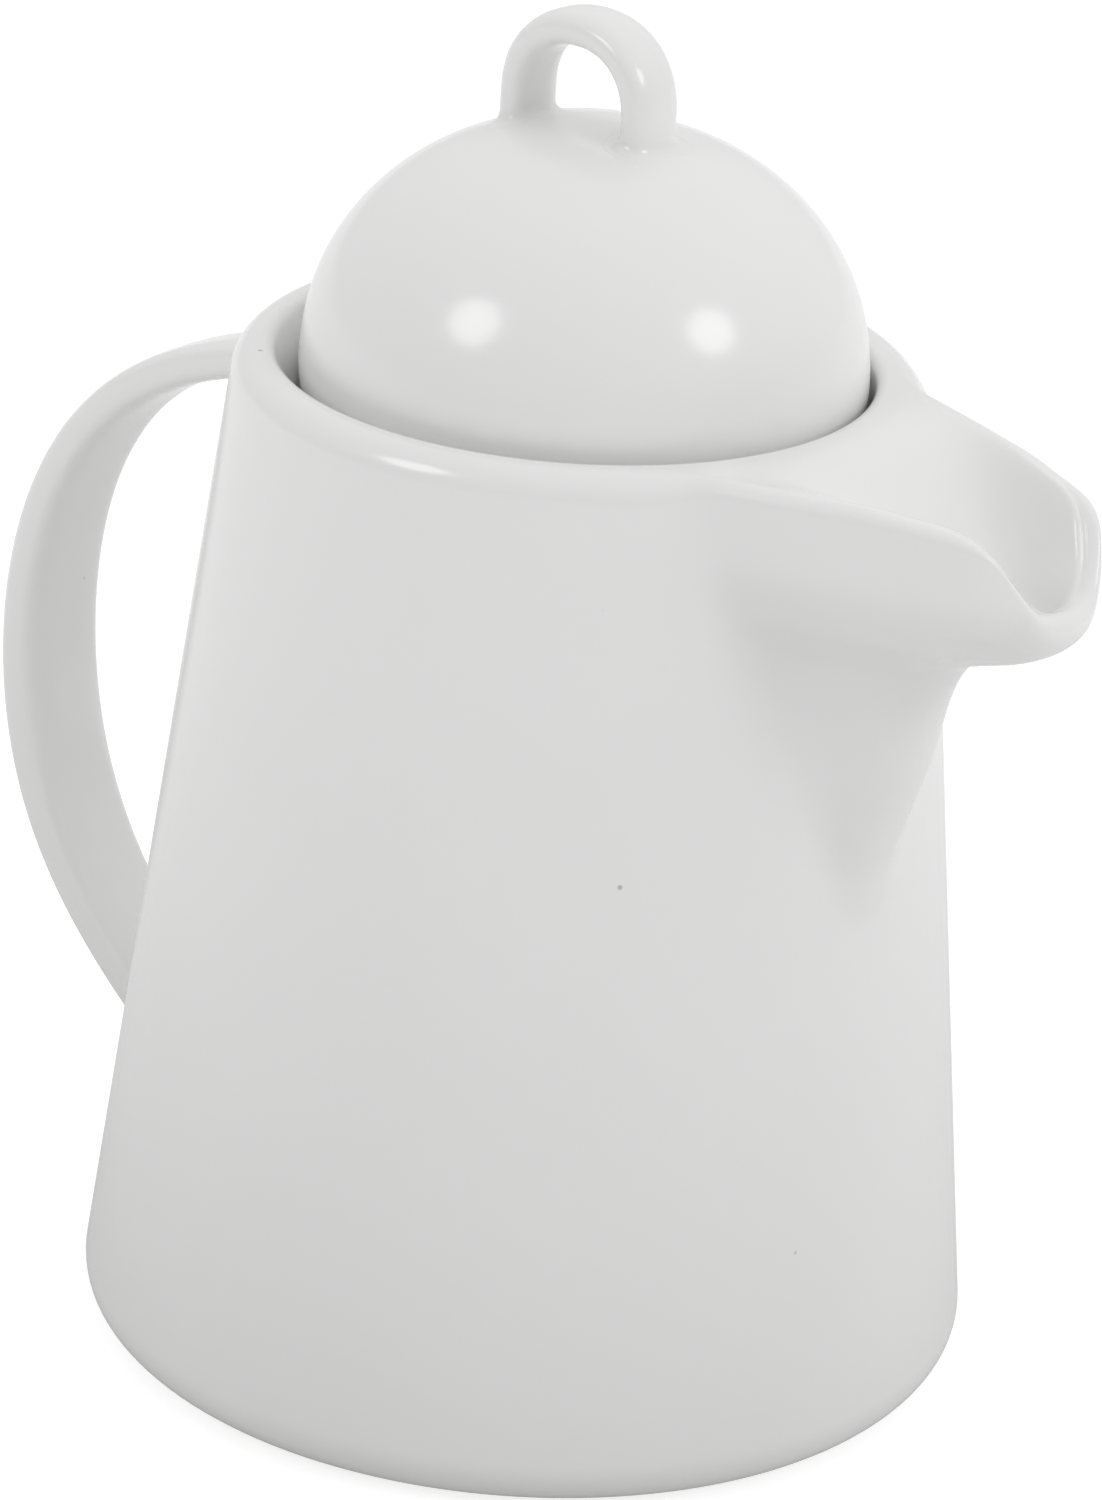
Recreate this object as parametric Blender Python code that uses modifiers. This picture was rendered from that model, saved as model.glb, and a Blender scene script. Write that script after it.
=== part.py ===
"""A white porcelain coffee pot: conical body, beak spout, strap handle and a domed lid with a loop.

The pot is one fired piece made of body, spout and handle; the lid is another, made of shell and loop.
+X points to the spout, -X to the handle, +Z up. The pot stands on z = 0, and the origin is the middle
of the bounding box's underside, so the turning axis lies at x = AXIS_X.
"""

import bisect
import math

import bmesh
import bpy
import numpy as np

# Driving dimensions, in metres. Radii and reaches are measured from the turning axis.
BASE_RADIUS = 0.06245
RIM_HEIGHT = 0.1417
RIM_RADIUS = 0.0467
WALL = 0.0045
JOINT_GAP = 0.0003
TURNING_STEPS = 48

# Foot: an unglazed ring that stands on the table, and the shallow recess inside it
BASE_EDGE_ROUND = 0.006
FOOT_RING_INNER = 0.0536
FOOT_RECESS = 0.0015
FLOOR_FILLET = 0.008

# Gallery: the step inside the rim that the lid rests on
GALLERY_RADIUS = 0.0396
GALLERY_DEPTH = 0.008
NECK_RADIUS = 0.0360
LEDGE_THICKNESS = 0.0047
RIM_ROUND = 0.00385
RIM_INNER_ROUND = 0.0012

# Lid
DOME_RADIUS = 0.0382
DOME_RISE = 0.03395
DOME_BULGE_HEIGHT = 0.1400
DOME_SQUARENESS = 2.1
LID_WALL = 0.0036
LID_EDGE_TUCK = 0.0011
FLANGE_OUTER = 0.0350
FLANGE_INNER = 0.0318
FLANGE_DEPTH = 0.0098

# Loop on the lid, a strap bent to an arch; it sits a little towards the handle
LOOP_CENTRE_X = -0.00235
LOOP_ARCH_HEIGHT = 0.1766
LOOP_RADIUS = 0.0102
LOOP_WIDTH = 0.0090
LOOP_THICKNESS = 0.0049
LOOP_FOOT_HEIGHT = 0.1690

# Handle: a strap along one cubic Bezier in the plane y = 0, given as (x, z)
HANDLE_CURVE = ((-0.0424, 0.1280), (-0.1098, 0.1282), (-0.1148, 0.0346), (-0.0473, 0.0120))
HANDLE_WIDTHS = (0.0114, 0.0155, 0.0124)
HANDLE_THICKNESSES = (0.0054, 0.0073, 0.0078)
STRAP_CORNER = 0.0022
HANDLE_REACH = 0.0991

# Spout: its horizontal section is a wedge with a rounded nose. Reach of the nose, radius of the nose
# and half-angle between the flanks, at each of these heights.
SPOUT_HEIGHTS = (0.079, 0.084, 0.091, 0.101, 0.111, 0.1165, 0.12, 0.123, 0.1275, 0.131, 0.145)
SPOUT_REACHES = (0.0537, 0.0549, 0.057, 0.0602, 0.0624, 0.0652, 0.0705, 0.0765, 0.0808, 0.0822, 0.0822)
NOSE_RADII = (0.009, 0.009, 0.009, 0.0085, 0.009, 0.009, 0.010, 0.012, 0.0139, 0.0146, 0.0146)
FLANK_DEGREES = (60, 52, 40, 34, 30, 27, 24, 22, 21, 21, 21)
SPOUT_HALF_ANGLE = 0.56
SPOUT_COLUMNS = 31
LIP_ROUND = 0.0023

# The top of the lip keeps the rim's height, then dips towards the tip, by distance from the axis
CREST_DISTANCES = (0.045, 0.058, 0.065, 0.070, 0.0738, 0.0752, 0.0765, 0.078, 0.0789, 0.0799)
CREST_HEIGHTS = (0.1417, 0.1416, 0.141, 0.1404, 0.1386, 0.1366, 0.1344, 0.1316, 0.1299, 0.1292)

# Floor of the trough along its middle, by distance from the axis
FLOOR_DISTANCES = (0.043, 0.046, 0.050, 0.055, 0.060, 0.065, 0.069, 0.072, 0.0745, 0.0766, 0.0782, 0.0799)
FLOOR_HEIGHTS = (0.1417, 0.1412, 0.1396, 0.1366, 0.1328, 0.129, 0.1268, 0.126, 0.1262, 0.1273, 0.1287, 0.1292)

# Throat: the way from the inside, through the wall and up the keel, into the trough
THROAT_HALF_WIDTH = 0.006
THROAT_BOTTOM = 0.103
THROAT_WALL_TOP = 0.1225
THROAT_MOUTH_HEIGHT = 0.1385
THROAT_MOUTH_REACH = 0.066

AXIS_X = (HANDLE_REACH - SPOUT_REACHES[-1]) / 2
GLAZE_COLOUR = (0.83, 0.83, 0.82, 1.0)
GLAZE_ROUGHNESS = 0.10
WALL_SLOPE = (BASE_RADIUS - RIM_RADIUS) / RIM_HEIGHT


def clear_scene():
    for old in list(bpy.data.objects):
        bpy.data.objects.remove(old, do_unlink=True)


def new_collection(name):
    collection = bpy.data.collections.new(name)
    bpy.context.scene.collection.children.link(collection)
    return collection


def glaze(name):
    material = bpy.data.materials.new(name)
    material.use_nodes = True
    shader = material.node_tree.nodes["Principled BSDF"]
    shader.inputs["Base Color"].default_value = GLAZE_COLOUR
    shader.inputs["Roughness"].default_value = GLAZE_ROUGHNESS
    shader.inputs["Metallic"].default_value = 0.0
    return material


def smooth_through(xs, ys):
    """A function that runs through the points (xs, ys) without overshooting between them."""
    xs = [float(x) for x in xs]
    ys = [float(y) for y in ys]
    slopes = [(ys[i + 1] - ys[i]) / (xs[i + 1] - xs[i]) for i in range(len(xs) - 1)]
    tangents = [slopes[0]]
    for before, after in zip(slopes[:-1], slopes[1:]):
        turning = before * after <= 0
        tangents.append(0.0 if turning else 2 * before * after / (before + after))
    tangents.append(slopes[-1])

    def value(x):
        x = min(max(x, xs[0]), xs[-1])
        i = min(bisect.bisect_right(xs, x) - 1, len(xs) - 2)
        step = xs[i + 1] - xs[i]
        t = (x - xs[i]) / step
        rise = (3 - 2 * t) * t * t * (ys[i + 1] - ys[i])
        start = t * (1 - t) ** 2 * tangents[i] * step
        end = t * t * (t - 1) * tangents[i + 1] * step
        return ys[i] + rise + start + end

    return value


def arc(centre_x, centre_z, radius, start_degrees, end_degrees, steps):
    """Points along an arc in the XZ plane, both ends included."""
    angles = np.radians(np.linspace(start_degrees, end_degrees, steps + 1))
    return [(centre_x + radius * math.cos(a), centre_z + radius * math.sin(a)) for a in angles]


def wall_radius(height):
    """Outer radius of the cone at a height."""
    return BASE_RADIUS - WALL_SLOPE * height


def add_object(name, mesh, collection, parent):
    obj = bpy.data.objects.new(name, mesh)
    collection.objects.link(obj)
    obj.parent = parent
    return obj


def turned(name, profile, collection, parent):
    """Turn a profile of (radius, height) points, which starts and ends on the axis, into a solid."""
    mesh = bpy.data.meshes.new(name)
    points = [(x, 0.0, z) for x, z in profile]
    mesh.from_pydata(points, [(i, i + 1) for i in range(len(points) - 1)], [])
    obj = add_object(name, mesh, collection, parent)
    screw = obj.modifiers.new("turn", "SCREW")
    screw.steps = TURNING_STEPS
    screw.render_steps = TURNING_STEPS
    screw.use_merge_vertices = True
    screw.merge_threshold = 0.00001
    screw.use_smooth_shade = True
    return obj


def lofted(name, rings, collection, parent):
    """A closed solid through rings of equal point counts, capped at both ends."""
    count = len(rings[0])
    mesh = bmesh.new()
    rows = [[mesh.verts.new(point) for point in ring] for ring in rings]
    for row, following in zip(rows[:-1], rows[1:]):
        for i in range(count):
            j = (i + 1) % count
            mesh.faces.new((row[i], row[j], following[j], following[i]))
    mesh.faces.new(reversed(rows[0]))
    mesh.faces.new(rows[-1])
    bmesh.ops.remove_doubles(mesh, verts=mesh.verts, dist=0.000001)
    bmesh.ops.recalc_face_normals(mesh, faces=mesh.faces)
    data = bpy.data.meshes.new(name)
    mesh.to_mesh(data)
    mesh.free()
    data.shade_smooth()
    data.set_sharp_from_angle(angle=math.radians(40))
    return add_object(name, data, collection, parent)


def cut(obj, cutter):
    boolean = obj.modifiers.new("cut_" + cutter.name, "BOOLEAN")
    boolean.operation = "DIFFERENCE"
    boolean.solver = "EXACT"
    boolean.object = cutter
    cutter.hide_render = True
    cutter.display_type = "WIRE"


def strap_section(width, thickness):
    """Rounded rectangle as (across, outward) pairs, across along Y and outward from the curve."""
    points = []
    for quarter, (side, face) in enumerate(((1, 1), (-1, 1), (-1, -1), (1, -1))):
        for step in range(4):
            angle = math.radians(90 * quarter + 30 * step)
            across = side * (width / 2 - STRAP_CORNER) + STRAP_CORNER * math.cos(angle)
            outward = face * (thickness / 2 - STRAP_CORNER) + STRAP_CORNER * math.sin(angle)
            points.append((across, outward))
    return points


def strap(name, centres, widths, thicknesses, collection, parent):
    """A strap of changing section along centres, which lie in the plane y = 0."""
    centres = np.array(centres)
    tangents = np.gradient(centres, axis=0)
    tangents /= np.linalg.norm(tangents, axis=1)[:, None]
    rings = []
    for (x, z), (along_x, along_z), width, thickness in zip(centres, tangents, widths, thicknesses):
        section = strap_section(width, thickness)
        rings.append([(x - along_z * out, across, z + along_x * out) for across, out in section])
    return lofted(name, rings, collection, parent)


def body_profile():
    """Half-section of the pot, from the middle of the inside floor round to the underside's middle."""
    ledge = RIM_HEIGHT - GALLERY_DEPTH
    ledge_under = ledge - LEDGE_THICKNESS
    floor = FOOT_RECESS + WALL
    inside_top = ledge_under - (GALLERY_RADIUS - NECK_RADIUS) - 0.002
    slope_degrees = math.degrees(math.atan(WALL_SLOPE))
    fillet_x = wall_radius(floor + FLOOR_FILLET) - WALL - FLOOR_FILLET
    rim_x = wall_radius(RIM_HEIGHT - RIM_ROUND) - RIM_ROUND
    edge_x = wall_radius(BASE_EDGE_ROUND) - BASE_EDGE_ROUND
    inner_round = RIM_INNER_ROUND
    points = [(0.0, floor)]
    points += arc(fillet_x, floor + FLOOR_FILLET, FLOOR_FILLET, -90, slope_degrees, 4)
    points += [(wall_radius(inside_top) - WALL, inside_top)]
    points += [(NECK_RADIUS, ledge_under), (NECK_RADIUS, ledge), (GALLERY_RADIUS, ledge)]
    points += arc(GALLERY_RADIUS + inner_round, RIM_HEIGHT - inner_round, inner_round, 180, 90, 2)
    points += arc(rim_x, RIM_HEIGHT - RIM_ROUND, RIM_ROUND, 90, slope_degrees, 5)
    points += arc(edge_x, BASE_EDGE_ROUND, BASE_EDGE_ROUND, slope_degrees, -90, 6)
    points += [(FOOT_RING_INNER, 0.0), (FOOT_RING_INNER - FOOT_RECESS, FOOT_RECESS), (0.0, FOOT_RECESS)]
    return points


def dome_points(radius, rise, steps):
    """Quarter of the dome's superellipse, from the top of the dome to its widest point."""
    power = 2 / DOME_SQUARENESS
    angles = np.radians(np.linspace(90, 0, steps + 1))
    points = [
        (radius * max(math.cos(a), 0) ** power, DOME_BULGE_HEIGHT + rise * math.sin(a) ** power)
        for a in angles
    ]
    points[0] = (0.0, points[0][1])
    return points


def lid_profile():
    """Half-section of the lid shell, over the dome, round the flange and back up the inside."""
    seat = RIM_HEIGHT - GALLERY_DEPTH + JOINT_GAP
    flange_end = seat - FLANGE_DEPTH
    inside = dome_points(DOME_RADIUS - LID_WALL, DOME_RISE - LID_WALL, 10)
    points = dome_points(DOME_RADIUS, DOME_RISE, 13)
    points += [(DOME_RADIUS - LID_EDGE_TUCK * 0.3, seat + 0.003), (DOME_RADIUS - LID_EDGE_TUCK, seat)]
    points += [(FLANGE_OUTER, seat), (FLANGE_OUTER, flange_end + 0.001)]
    points += [(FLANGE_OUTER - 0.001, flange_end), (FLANGE_INNER, flange_end)]
    points += [(FLANGE_INNER, seat)]
    points += list(reversed(inside))
    return points


def spout_section(height, inset=0.0):
    """Reach and radius of the nose, and half-angle of the flanks, at a height."""
    reach = REACH_AT(height) - inset
    nose = max(NOSE_AT(height) - inset, 0.002)
    return reach, nose, math.radians(FLANK_AT(height))


def wedge_distance(angle, reach, nose, flank):
    """Distance from the axis to the wedge's outline, in the direction at an angle from +X."""
    angle = abs(angle)
    centre = reach - nose
    touch_x = centre + nose * math.sin(flank)
    touch_y = nose * math.cos(flank)
    if angle < math.atan2(touch_y, touch_x):
        return centre * math.cos(angle) + math.sqrt(nose**2 - (centre * math.sin(angle)) ** 2)
    flank_distance = centre * math.sin(flank) + nose
    return flank_distance / math.sin(min(flank + angle, math.pi / 2))


def spout_distance(angle, height):
    return wedge_distance(angle, *spout_section(height))


def spout_foot(angle):
    """Height at which the spout starts to stand out from the cone, by halving the interval."""
    low, high = SPOUT_HEIGHTS[0], RIM_HEIGHT
    for _ in range(40):
        middle = (low + high) / 2
        if spout_distance(angle, middle) > wall_radius(middle) + 2.5 * JOINT_GAP:
            high = middle
        else:
            low = middle
    return high


def trough_height(distance, angle):
    """Height of the trough's surface, between its floor along the middle and the lip on each side."""
    x = distance * math.cos(angle)
    y = abs(distance * math.sin(angle))
    edge = CREST_AT(x)
    reach = SPOUT_REACHES[-1] - LIP_ROUND
    nose = NOSE_RADII[-1] - LIP_ROUND
    flank = math.radians(FLANK_DEGREES[-1])
    centre = reach - nose
    half_width = ((centre * math.sin(flank) + nose) - x * math.sin(flank)) / math.cos(flank)
    if x > centre + nose * math.sin(flank):
        half_width = math.sqrt(max(nose**2 - (x - centre) ** 2, 1e-10))
    across = min(y / half_width, 1.0)
    return edge - (edge - min(FLOOR_AT(distance), edge)) * (1 - across**3) ** 1.4


def spout_column(angle):
    """Closed section of the spout in the upright plane at an angle: keel, lip, trough, inner face."""
    direction = (math.cos(angle), math.sin(angle))
    inner_top = wall_radius(RIM_HEIGHT) + JOINT_GAP
    crest_distance = wedge_distance(
        angle,
        SPOUT_REACHES[-1] - LIP_ROUND,
        NOSE_RADII[-1] - LIP_ROUND,
        math.radians(FLANK_DEGREES[-1]),
    )
    crest_distance = max(crest_distance, inner_top + 3 * JOINT_GAP)
    crest_height = CREST_AT(crest_distance * math.cos(angle))
    foot = spout_foot(angle)
    lip_start = crest_height - LIP_ROUND
    section = []
    for share in np.linspace(0, 1, 14):
        height = foot + (lip_start - foot) * share
        section.append((spout_distance(angle, height), height))
    lip_distance = max(section[-1][0], crest_distance + LIP_ROUND)
    section[-1] = (lip_distance, lip_start)
    for turn in (30, 60, 90):
        step = math.radians(turn)
        out = crest_distance + (lip_distance - crest_distance) * math.cos(step)
        section.append((out, lip_start + LIP_ROUND * math.sin(step)))
    for share in np.linspace(0.9, 0, 9):
        distance = inner_top + (crest_distance - inner_top) * share
        section.append((distance, trough_height(distance, angle)))
    top = section[-1][1]
    for share in np.linspace(0.2, 1, 5):
        height = top + (foot - top) * share
        section.append((wall_radius(height) + JOINT_GAP, height))
    return [(r * direction[0], r * direction[1], z) for r, z in section]


def throat_ring(height):
    """Outline of the throat at a height: the keel's section, less its wall, and not too wide."""
    reach, nose, flank = spout_section(height, WALL)
    reach = min(reach, THROAT_MOUTH_REACH)
    nose = min(nose, THROAT_HALF_WIDTH)
    back = GALLERY_RADIUS
    outline = [(back, -THROAT_HALF_WIDTH)]
    for degrees in range(-75, 76, 25):
        turn = math.radians(degrees)
        outline.append((reach - nose + nose * math.cos(turn), nose * math.sin(turn)))
    outline.append((back, THROAT_HALF_WIDTH))
    return [(x, y, height) for x, y in outline]


def make_body(parts, cutters, pot):
    body = turned("pot_body", body_profile(), parts, pot)
    corner = THROAT_HALF_WIDTH
    ring = []
    for start, height in ((0, THROAT_WALL_TOP - corner), (180, THROAT_BOTTOM + corner)):
        for degrees in range(start, start + 181, 45):
            turn = math.radians(degrees)
            ring.append((corner * math.cos(turn), height + corner * math.sin(turn)))
    inside, outside = NECK_RADIUS, wall_radius(0) - WALL
    rings = [[(x, y, z) for y, z in ring] for x in (inside, outside)]
    cut(body, lofted("throat_wall_cutter", rings, cutters, pot))
    return body


def make_spout(parts, cutters, pot):
    shares = np.linspace(-1, 1, SPOUT_COLUMNS)
    angles = [SPOUT_HALF_ANGLE * (0.5 * s + 0.5 * s**3) for s in shares]
    spout = lofted("spout", [spout_column(a) for a in angles], parts, pot)
    heights = np.linspace(THROAT_BOTTOM + 0.001, THROAT_MOUTH_HEIGHT, 9)
    cut(spout, lofted("throat_channel_cutter", [throat_ring(h) for h in heights], cutters, pot))
    return spout


def make_handle(parts, cutters, pot):
    stations = np.linspace(0, 1, 29)
    (x0, z0), (x1, z1), (x2, z2), (x3, z3) = HANDLE_CURVE
    centres = []
    for t in stations:
        weights = ((1 - t) ** 3, 3 * t * (1 - t) ** 2, 3 * t * t * (1 - t), t**3)
        x = sum(w * value for w, value in zip(weights, (x0, x1, x2, x3)))
        z = sum(w * value for w, value in zip(weights, (z0, z1, z2, z3)))
        centres.append((x, z))
    width_at = smooth_through((0, 0.5, 1), HANDLE_WIDTHS)
    thickness_at = smooth_through((0, 0.5, 1), HANDLE_THICKNESSES)
    widths = [width_at(t) for t in stations]
    thicknesses = [thickness_at(t) for t in stations]
    handle = strap("handle", centres, widths, thicknesses, parts, pot)
    low, high = -0.01, RIM_HEIGHT + 0.01
    profile = [(0.0, high), (wall_radius(high) + JOINT_GAP, high)]
    profile += [(wall_radius(low) + JOINT_GAP, low), (0.0, low)]
    cut(handle, turned("body_clearance_cutter", profile, cutters, pot))
    return handle


def make_lid(parts, cutters, lid):
    shell = turned("lid_shell", lid_profile(), parts, lid)
    leg = LOOP_ARCH_HEIGHT - LOOP_FOOT_HEIGHT
    centres = [(LOOP_CENTRE_X - LOOP_RADIUS, LOOP_FOOT_HEIGHT + leg * s) for s in (0, 0.5)]
    centres += [
        (LOOP_CENTRE_X + x, LOOP_ARCH_HEIGHT + z) for x, z in arc(0, 0, LOOP_RADIUS, 180, 0, 16)
    ]
    centres += [(LOOP_CENTRE_X + LOOP_RADIUS, LOOP_FOOT_HEIGHT + leg * s) for s in (0.5, 0)]
    count = len(centres)
    loop = strap("lid_loop", centres, [LOOP_WIDTH] * count, [LOOP_THICKNESS] * count, parts, lid)
    grown = dome_points(DOME_RADIUS + JOINT_GAP, DOME_RISE + JOINT_GAP, 24)
    cut(loop, turned("dome_clearance_cutter", grown + [(0.0, DOME_BULGE_HEIGHT)], cutters, lid))
    return shell, loop


def main():
    clear_scene()
    parts = new_collection("coffee_pot")
    cutters = new_collection("cutters")
    pot = bpy.data.objects.new("pot", None)
    lid = bpy.data.objects.new("lid", None)
    for empty in (pot, lid):
        empty.location = (AXIS_X, 0.0, 0.0)
        parts.objects.link(empty)
    made = [make_body(parts, cutters, pot), make_spout(parts, cutters, pot)]
    made += [make_handle(parts, cutters, pot), *make_lid(parts, cutters, lid)]
    for obj in made:
        obj.data.materials.append(glaze(obj.name + "_glaze"))


REACH_AT = smooth_through(SPOUT_HEIGHTS, SPOUT_REACHES)
NOSE_AT = smooth_through(SPOUT_HEIGHTS, NOSE_RADII)
FLANK_AT = smooth_through(SPOUT_HEIGHTS, FLANK_DEGREES)
CREST_AT = smooth_through(CREST_DISTANCES, CREST_HEIGHTS)
FLOOR_AT = smooth_through(FLOOR_DISTANCES, FLOOR_HEIGHTS)

main()
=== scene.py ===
"""Looks of a white glazed porcelain coffee pot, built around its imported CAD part.

The shape functions work in millimetres, measured from the pot's turning axis: +X to the spout, +Z up.
The angle of a column is measured round that axis from +X.
"""

import math

import bpy
import numpy as np
from mathutils import Matrix, Vector


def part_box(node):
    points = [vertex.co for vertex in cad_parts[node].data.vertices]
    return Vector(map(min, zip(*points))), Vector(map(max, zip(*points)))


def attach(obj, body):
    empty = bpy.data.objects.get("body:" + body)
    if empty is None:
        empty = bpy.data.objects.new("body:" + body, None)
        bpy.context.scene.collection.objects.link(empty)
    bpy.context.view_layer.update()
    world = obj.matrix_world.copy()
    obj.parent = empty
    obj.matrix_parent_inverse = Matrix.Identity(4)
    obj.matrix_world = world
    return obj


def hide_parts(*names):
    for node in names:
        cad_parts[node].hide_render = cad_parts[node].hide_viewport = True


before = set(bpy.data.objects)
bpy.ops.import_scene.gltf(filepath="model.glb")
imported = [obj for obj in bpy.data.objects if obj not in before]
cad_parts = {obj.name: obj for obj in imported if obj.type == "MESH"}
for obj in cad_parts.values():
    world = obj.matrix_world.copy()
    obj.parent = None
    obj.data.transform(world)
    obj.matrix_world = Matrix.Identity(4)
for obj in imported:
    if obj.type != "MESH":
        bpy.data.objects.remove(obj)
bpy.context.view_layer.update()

MM = 0.001
lid_low, lid_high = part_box("lid_shell")
AXIS = np.array([(lid_low.x + lid_high.x) / 2, 0.0, 0.0])

# Body: the cone, its rim and the gallery that the lid sits in
BASE_RADIUS = 62.45
BASE_ROUND = 6.0
RIM_HEIGHT = 141.7
RIM_RADIUS = 46.7
SLOPE = (BASE_RADIUS - RIM_RADIUS) / RIM_HEIGHT
WALL = 4.5
RIM_ROUND = 3.85
RIM_INNER = 41.8
RIM_EDGE = 40.6
GALLERY_RADIUS = 38.2
GALLERY_TOP = 135.2
HOLE_SHIFT = 1.2
HOLE_TURN = math.radians(-150)
LEDGE_HEIGHT = 133.7
NECK_RADIUS = 36.0
FLOOR_HEIGHT = 6.0
SHOULDER_HEIGHT = 122.0
FOOT_RING_INNER = 53.6
FOOT_RECESS = 1.6

# Lid and its loop
DOME_RADIUS = 38.2
DOME_RISE = 33.95
DOME_HEIGHT = 140.0
DOME_POWER = 2.1
SEAT_HEIGHT = 134.0
FLANGE_OUTER = 35.0
FLANGE_INNER = 31.8
FLANGE_LOW = 124.0
LOOP_CENTRE = -2.35
LOOP_ARCH_HEIGHT = 176.6
LOOP_RADIUS = 10.2
LOOP_LEG = 14
LOOP_WIDTH = 9.0
LOOP_THICKNESS = 4.9

# Lip of the spout: its crest seen from above is a wedge with a round nose
CREST_REACH = 79.9
CREST_NOSE = 12.3
FLANK = math.radians(21)
LIP_ROUND = 2.3
PINCH = 1.6
HOLLOW_ANGLE = math.radians(7.8)
HOLLOW_HALF_ANGLE = math.radians(3.3)
HOLLOW_HEIGHT = 124.0
HOLLOW_HALF_HEIGHT = 2.3
HOLLOW_DEPTH = 0.9
RIM_WAIST = 1.2

# Throat: an oval channel from the inside wall, up the keel, into the trough. Its two holes are patches
# of the body's grid between two columns, with as many rows each.
NEAR_COLUMNS = 177
THROAT_COLUMNS = (80, 96)
THROAT_ROWS = 11
THROAT_TROUGH_START = 0.44
THROAT_WALL_LOW = 102.0
THROAT_WALL_HIGH = 116.0
THROAT_ROUND = 1.1


def smooth_through(xs, ys):
    """A function through the points (xs, ys) that never overshoots between them."""
    xs = np.array(xs, float)
    ys = np.array(ys, float)
    slopes = np.diff(ys) / np.diff(xs)
    before, after = slopes[:-1], slopes[1:]
    same_way = before * after > 0
    total = np.where(same_way, before + after, 1.0)
    inner = np.where(same_way, 2 * before * after / total, 0.0)
    tangents = np.concatenate([slopes[:1], inner, slopes[-1:]])

    def value(x):
        x = np.clip(x, xs[0], xs[-1])
        i = np.clip(np.searchsorted(xs, x, side="right") - 1, 0, len(xs) - 2)
        step = xs[i + 1] - xs[i]
        t = (x - xs[i]) / step
        rise = (3 - 2 * t) * t * t * (ys[i + 1] - ys[i])
        start = t * (1 - t) ** 2 * tangents[i] * step
        end = t * t * (t - 1) * tangents[i + 1] * step
        return ys[i] + rise + start + end

    return value


def softened(curve, low, high, spread):
    """The same function averaged over a bell curve of that spread, so that it has no kinks."""
    xs = np.linspace(low, high, 800)
    offsets = np.linspace(-3, 3, 41)
    weights = np.exp(-offsets**2 / 2)
    samples = curve(xs[:, None] + spread * offsets[None, :])
    ys = samples @ (weights / weights.sum())
    return lambda x: np.interp(x, xs, ys)


def ease(x, start, end):
    """0 before start, 1 after end, smooth between them."""
    t = np.clip((x - start) / (end - start), 0, 1)
    return t * t * (3 - 2 * t)


def soft_max(a, b, blend):
    h = np.clip(0.5 + 0.5 * (a - b) / blend, 0, 1)
    return b * (1 - h) + a * h + blend * h * (1 - h)


def wedge(angle, reach, nose, flank):
    """Distance from the axis to the outline of a wedge with a round nose, at an angle from +X."""
    angle = np.abs(angle)
    centre = reach - nose
    touch = np.arctan2(nose * np.cos(flank), centre + nose * np.sin(flank))
    inside = np.maximum(nose**2 - (centre * np.sin(angle)) ** 2, 0)
    round_part = centre * np.cos(angle) + np.sqrt(inside)
    flat_part = (centre * np.sin(flank) + nose) / np.sin(np.minimum(flank + angle, math.pi / 2))
    away = PINCH * ease(angle, math.radians(8), math.radians(40))
    away = away + 30 * ease(angle, math.radians(46), math.radians(70))
    return np.where(angle < touch, round_part, flat_part) - away


# Reach, nose radius and flank angle of the spout's horizontal sections, by height
SPOUT_HEIGHTS = (66, 79, 84, 91, 101, 111, 116.5, 120, 123, 127.5, 131, 145)
SPOUT_REACHES = (42, 53.7, 54.9, 57, 60.2, 62.4, 65.2, 70.5, 76.5, 80.8, 82.2, 82.2)
NOSE_RADII = (9, 9, 9, 9, 8.5, 9, 9, 10, 12, 13.9, 14.6, 14.6)
FLANK_DEGREES = (62, 60, 52, 40, 34, 30, 27, 24, 22, 21, 21, 21)
REACH_AT = softened(smooth_through(SPOUT_HEIGHTS, SPOUT_REACHES), 64, 146, 0.8)
NOSE_AT = softened(smooth_through(SPOUT_HEIGHTS, NOSE_RADII), 64, 146, 1.2)
FLANK_AT = softened(smooth_through(SPOUT_HEIGHTS, FLANK_DEGREES), 64, 146, 1.2)

# Height of the lip's crest by distance along +X, and of the trough's floor by distance from the axis
CREST_AT = softened(
    smooth_through(
        (40, 58, 65, 70, 73.8, 75.2, 76.5, 78, 78.9, 79.9, 86),
        (141.7, 141.6, 141.0, 140.4, 138.6, 136.6, 134.4, 131.6, 129.9, 129.2, 129.0),
    ),
    38, 88, 0.5,
)
FLOOR_AT = softened(
    smooth_through(
        (40, 43, 46, 50, 55, 60, 65, 69, 72, 74.5, 76.6, 78.2, 79.9, 86),
        (141.7, 141.7, 141.2, 139.6, 136.6, 132.8, 129.0, 126.8, 126.0, 126.2, 127.3, 128.7, 129.2, 129.0),
    ),
    38, 88, 0.5,
)


def cone(height):
    return BASE_RADIUS - SLOPE * height


def waist(angle):
    """How far the rim is drawn in on both sides of the spout."""
    away = np.abs(np.arctan2(np.sin(angle), np.cos(angle)))
    return RIM_WAIST * ease(away, math.radians(22), math.radians(52)) * ease(-away, -1.9, -0.95)


def crest_radius(angle):
    rim = cone(RIM_HEIGHT - RIM_ROUND) - RIM_ROUND - waist(angle)
    return soft_max(rim, wedge(angle, CREST_REACH, CREST_NOSE, FLANK), 3.0)


def crest_height(angle):
    return CREST_AT(crest_radius(angle) * np.cos(angle))


def lip_round(angle):
    turn = ease(np.abs(angle), math.radians(24), math.radians(44))
    return LIP_ROUND + (RIM_ROUND - LIP_ROUND) * turn


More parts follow.
